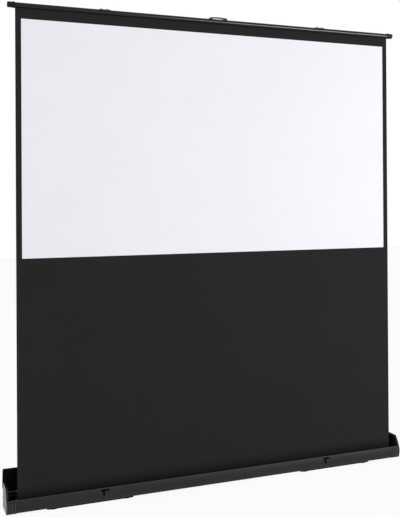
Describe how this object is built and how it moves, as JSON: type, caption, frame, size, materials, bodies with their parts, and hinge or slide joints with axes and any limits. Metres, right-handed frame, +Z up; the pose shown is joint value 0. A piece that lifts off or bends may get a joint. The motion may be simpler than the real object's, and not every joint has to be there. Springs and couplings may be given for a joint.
{
  "type": "pull-up projection screen",
  "caption": "Floor-standing pull-up projection screen, raised from a long case with its lid open; white surface over a black drop, top bar on folding arms.",
  "frame": {"origin": "middle of the bounding box in plan, on the floor", "axes": "+X along the case to the right as seen from the front, +Y to the back, +Z up"},
  "size_m": [1.9184, 0.1584, 2.1255],
  "materials": {
    "case_black": "satin black powder coat",
    "lid_black": "satin black powder coat",
    "cap_plastic": "smooth moulded black",
    "catch_plastic": "moulded black",
    "arm_paint": "black paint",
    "foot_paint": "black paint",
    "rubber_pad": "matt",
    "zinc": "zinc plated",
    "spring_steel": "drawn wire",
    "roller_metal": "mill finish",
    "bar_black": "gloss black anodised",
    "knob_plastic": "moulded black",
    "screw_black": "blackened",
    "rod_white": "extruded",
    "cloth_black": "matt black coated cloth",
    "cloth_white": "matt white coating",
    "strap_grey": "moulded grey strap",
    "clip_black": "moulded black"
  },
  "bodies": {
    "case": {"case_front": "case_black", "case_floor": "case_black", "case_back": "case_black", "screw_ports": "case_black", "end_cap_left": "cap_plastic", "end_cap_right": "cap_plastic", "end_cap_screws": "zinc", "hinge_leaf_case": "case_black", "hinge_pin": "zinc", "foot_pivots": "zinc", "roller_bracket_left": "zinc", "roller_bracket_right": "zinc", "roller_spring_shaft": "zinc", "roller_spring": "spring_steel", "base_bracket_left": "zinc", "base_bracket_right": "zinc", "base_pin_left": "zinc", "base_pin_right": "zinc", "lift_spring_left": "spring_steel", "lift_spring_right": "spring_steel", "screen_cloth": "cloth_black", "viewing_surface": "cloth_white"},
    "lid": {"lid_shell": "lid_black", "hinge_leaf_lid": "lid_black", "lid_hooks": "zinc"},
    "catch_left": {"catch_slide_left": "catch_plastic"},
    "catch_right": {"catch_slide_right": "catch_plastic"},
    "foot_left": {"foot_bar_left": "foot_paint", "foot_pads_left": "rubber_pad"},
    "foot_right": {"foot_bar_right": "foot_paint", "foot_pads_right": "rubber_pad"},
    "roller": {"roller_tube": "roller_metal", "roller_idler_plug": "cap_plastic", "roller_spring_plug": "cap_plastic", "wound_cloth": "cloth_black"},
    "lower_arm_left": {"lower_arm_left": "arm_paint", "elbow_pin_left": "zinc"},
    "lower_arm_right": {"lower_arm_right": "arm_paint", "elbow_pin_right": "zinc"},
    "upper_arm_left": {"upper_arm_left": "arm_paint"},
    "upper_arm_right": {"upper_arm_right": "arm_paint"},
    "top_bar": {"bar_tube": "bar_black", "bar_knob_left": "knob_plastic", "bar_knob_right": "knob_plastic", "hem_rod": "rod_white", "cloth_hem": "cloth_black", "saddle_left": "arm_paint", "saddle_right": "arm_paint", "saddle_screws_left": "screw_black", "saddle_screws_right": "screw_black", "top_pin_left": "zinc", "top_pin_right": "zinc", "handle_strap": "strap_grey", "handle_clips": "clip_black"}
  },
  "joints": [
    {"name": "arm_fold_left", "type": "hinge", "parent": "case", "child": "lower_arm_left", "pos_m": [-0.53, -0.00864, 0.026], "axis": [0, 1, 0], "range_deg": [0, 75.17], "deforming": ["screen_cloth", "viewing_surface"]},
    {"name": "elbow_left", "type": "hinge", "parent": "lower_arm_left", "child": "upper_arm_left", "pos_m": [-0.27709, -0.00364, 1.0635], "axis": [0, 1, 0], "range_deg": [-150.34, 0]},
    {"name": "bar_level", "type": "hinge", "parent": "upper_arm_left", "child": "top_bar", "pos_m": [-0.53, -0.00364, 2.101], "axis": [0, 1, 0], "range_deg": [0, 75.17]},
    {"name": "arm_fold_right", "type": "hinge", "parent": "case", "child": "lower_arm_right", "pos_m": [0.53, 0.00896, 0.026], "axis": [0, 1, 0], "range_deg": [-75.17, 0]},
    {"name": "elbow_right", "type": "hinge", "parent": "lower_arm_right", "child": "upper_arm_right", "pos_m": [0.27709, 0.00396, 1.0635], "axis": [0, 1, 0], "range_deg": [0, 150.34]},
    {"name": "roller_spin", "type": "hinge", "parent": "case", "child": "roller", "pos_m": [0, -0.03604, 0.039], "axis": [1, 0, 0], "continuous": true},
    {"name": "lid_hinge", "type": "hinge", "parent": "case", "child": "lid", "pos_m": [0, 0.03406, 0.065], "axis": [-1, 0, 0], "range_deg": [0, 92]},
    {"name": "catch_left_slide", "type": "slide", "parent": "case", "child": "catch_left", "axis": [1, 0, 0], "range_m": [0, 0.018]},
    {"name": "catch_right_slide", "type": "slide", "parent": "case", "child": "catch_right", "axis": [1, 0, 0], "range_m": [0, 0.018]},
    {"name": "foot_left_swivel", "type": "hinge", "parent": "case", "child": "foot_left", "pos_m": [-0.6, -0.03064, 0.008], "axis": [0, 0, 1], "range_deg": [0, 90]},
    {"name": "foot_right_swivel", "type": "hinge", "parent": "case", "child": "foot_right", "pos_m": [0.6, -0.03064, 0.008], "axis": [0, 0, 1], "range_deg": [-90, 0]}
  ],
  "couplings": [
    {"joint": "elbow_left", "follows": "arm_fold_left", "ratio": -2},
    {"joint": "bar_level", "follows": "arm_fold_left", "ratio": 1},
    {"joint": "arm_fold_right", "follows": "arm_fold_left", "ratio": -1},
    {"joint": "elbow_right", "follows": "arm_fold_left", "ratio": 2},
    {"joint": "roller_spin", "follows": "arm_fold_left", "ratio": 74.232}
  ]
}
